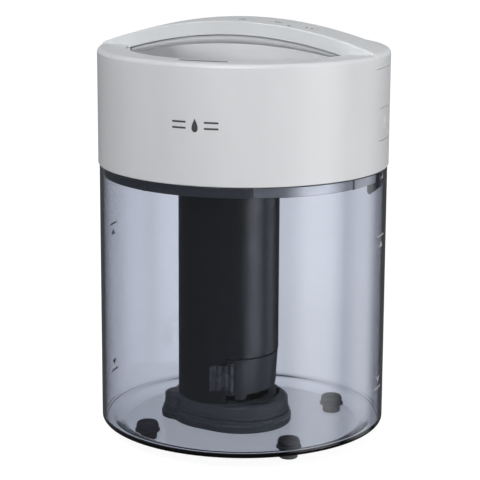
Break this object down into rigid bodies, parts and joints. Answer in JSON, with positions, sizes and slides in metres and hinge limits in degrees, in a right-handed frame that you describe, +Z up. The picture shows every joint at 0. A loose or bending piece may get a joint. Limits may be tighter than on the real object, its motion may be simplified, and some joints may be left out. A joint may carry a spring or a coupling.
{
  "type": "cool mist humidifier",
  "caption": "Drop-in ultrasonic cool mist humidifier: round head with arched handle and column standing in a clear smoky cylindrical tank on rubber feet.",
  "frame": {"origin": "on the table, below the middle of the tank", "axes": "+Z up, front faces -Y, the handle runs along X"},
  "size_m": [0.216, 0.216, 0.3133],
  "materials": {
    "tank_smoke": "clear smoky blue-grey moulded plastic, polished",
    "housing_white": "satin white moulded ABS, fine texture",
    "cap_white": "smooth slightly cool white moulded ABS",
    "charcoal": "satin charcoal moulded polypropylene",
    "rubber_feet": "soft dark moulded rubber",
    "steel": "zinc plated or stamped steel",
    "board_green": "soldered fibreglass circuit board",
    "silicone": "translucent silicone and float plastic",
    "filter_foam": "open-cell foam",
    "lens": "small clear indicator light pipe",
    "aluminium_fins": "extruded aluminium"
  },
  "bodies": {
    "tank": {"tank": "tank_smoke", "foot_1": "rubber_feet", "foot_2": "rubber_feet", "foot_3": "rubber_feet", "foot_4": "rubber_feet"},
    "head": {"head_shell": "housing_white", "top_bowl": "housing_white", "handle_cap": "cap_white", "handle_grip": "housing_white", "indicator_lens": "lens", "control_board": "board_green", "chassis_plate": "charcoal", "case_screw_1": "steel", "case_screw_2": "steel", "case_screw_3": "steel", "case_screw_4": "steel", "blower_housing": "charcoal", "blower_motor": "steel", "driver_board": "board_green", "heat_sink": "aluminium_fins", "power_inlet": "charcoal", "intake_filter": "filter_foam", "release_spring_right": "steel", "release_spring_left": "steel", "column_sleeve": "charcoal", "mist_tube": "housing_white", "door_hinge_pin": "steel", "column_screw_1": "steel", "column_screw_2": "steel", "column_screw_3": "steel", "base_tray": "charcoal", "base_housing": "charcoal", "transducer_disc": "steel", "transducer_seal": "silicone", "transducer_retainer": "charcoal", "float_pin": "charcoal", "base_screw_1": "steel", "base_screw_2": "steel", "base_screw_3": "steel"},
    "release_right": {"release_button_right": "housing_white", "latch_hook_right": "charcoal"},
    "release_left": {"release_button_left": "housing_white", "latch_hook_left": "charcoal"},
    "light_key": {"light_key": "cap_white"},
    "power_key": {"power_key": "cap_white"},
    "mist_key": {"mist_key": "cap_white"},
    "nozzle": {"mist_nozzle": "cap_white"},
    "impeller": {"blower_impeller": "charcoal"},
    "door": {"column_door": "charcoal"},
    "clip": {"door_clip": "charcoal"},
    "float": {"level_float": "silicone"}
  },
  "joints": [
    {"name": "head_lift", "type": "slide", "parent": "tank", "child": "head", "axis": [0, 0, 1], "range_m": [0, 0.21]},
    {"name": "release_right_push", "type": "slide", "parent": "head", "child": "release_right", "axis": [-1, 0, 0], "range_m": [0, 0.003], "stiffness_N_per_m": 500, "springref_m": -0.004, "deforming": ["release_spring_right"]},
    {"name": "release_left_push", "type": "slide", "parent": "head", "child": "release_left", "axis": [1, 0, 0], "range_m": [0, 0.003], "stiffness_N_per_m": 500, "springref_m": -0.004, "deforming": ["release_spring_left"]},
    {"name": "light_key_press", "type": "slide", "parent": "head", "child": "light_key", "axis": [0, 0, -1], "range_m": [0, 0.0008], "stiffness_N_per_m": 800, "springref_m": -0.0006},
    {"name": "power_key_press", "type": "slide", "parent": "head", "child": "power_key", "axis": [0, 0, -1], "range_m": [0, 0.0008], "stiffness_N_per_m": 800, "springref_m": -0.0006},
    {"name": "mist_key_press", "type": "slide", "parent": "head", "child": "mist_key", "axis": [0, 0, -1], "range_m": [0, 0.0008], "stiffness_N_per_m": 800, "springref_m": -0.0006},
    {"name": "nozzle_turn", "type": "hinge", "parent": "head", "child": "nozzle", "pos_m": [-0.0113, 0, 0.25], "axis": [0, 0, 1], "continuous": true},
    {"name": "impeller_spin", "type": "hinge", "parent": "head", "child": "impeller", "pos_m": [0.054, 0, 0.225], "axis": [0, 0, 1], "continuous": true},
    {"name": "door_swing", "type": "hinge", "parent": "head", "child": "door", "pos_m": [0.01422, 0.03209, 0.049], "axis": [0, 0, 1], "range_deg": [0, 95]},
    {"name": "clip_swing", "type": "hinge", "parent": "door", "child": "clip", "pos_m": [0.00416, -0.03732, 0.049], "axis": [0, 0, 1], "range_deg": [0, 25], "stiffness_Nm_per_rad": 0.02, "springref_deg": -5.73},
    {"name": "float_rise", "type": "slide", "parent": "head", "child": "float", "axis": [0, 0, 1], "range_m": [0, 0.006]}
  ]
}
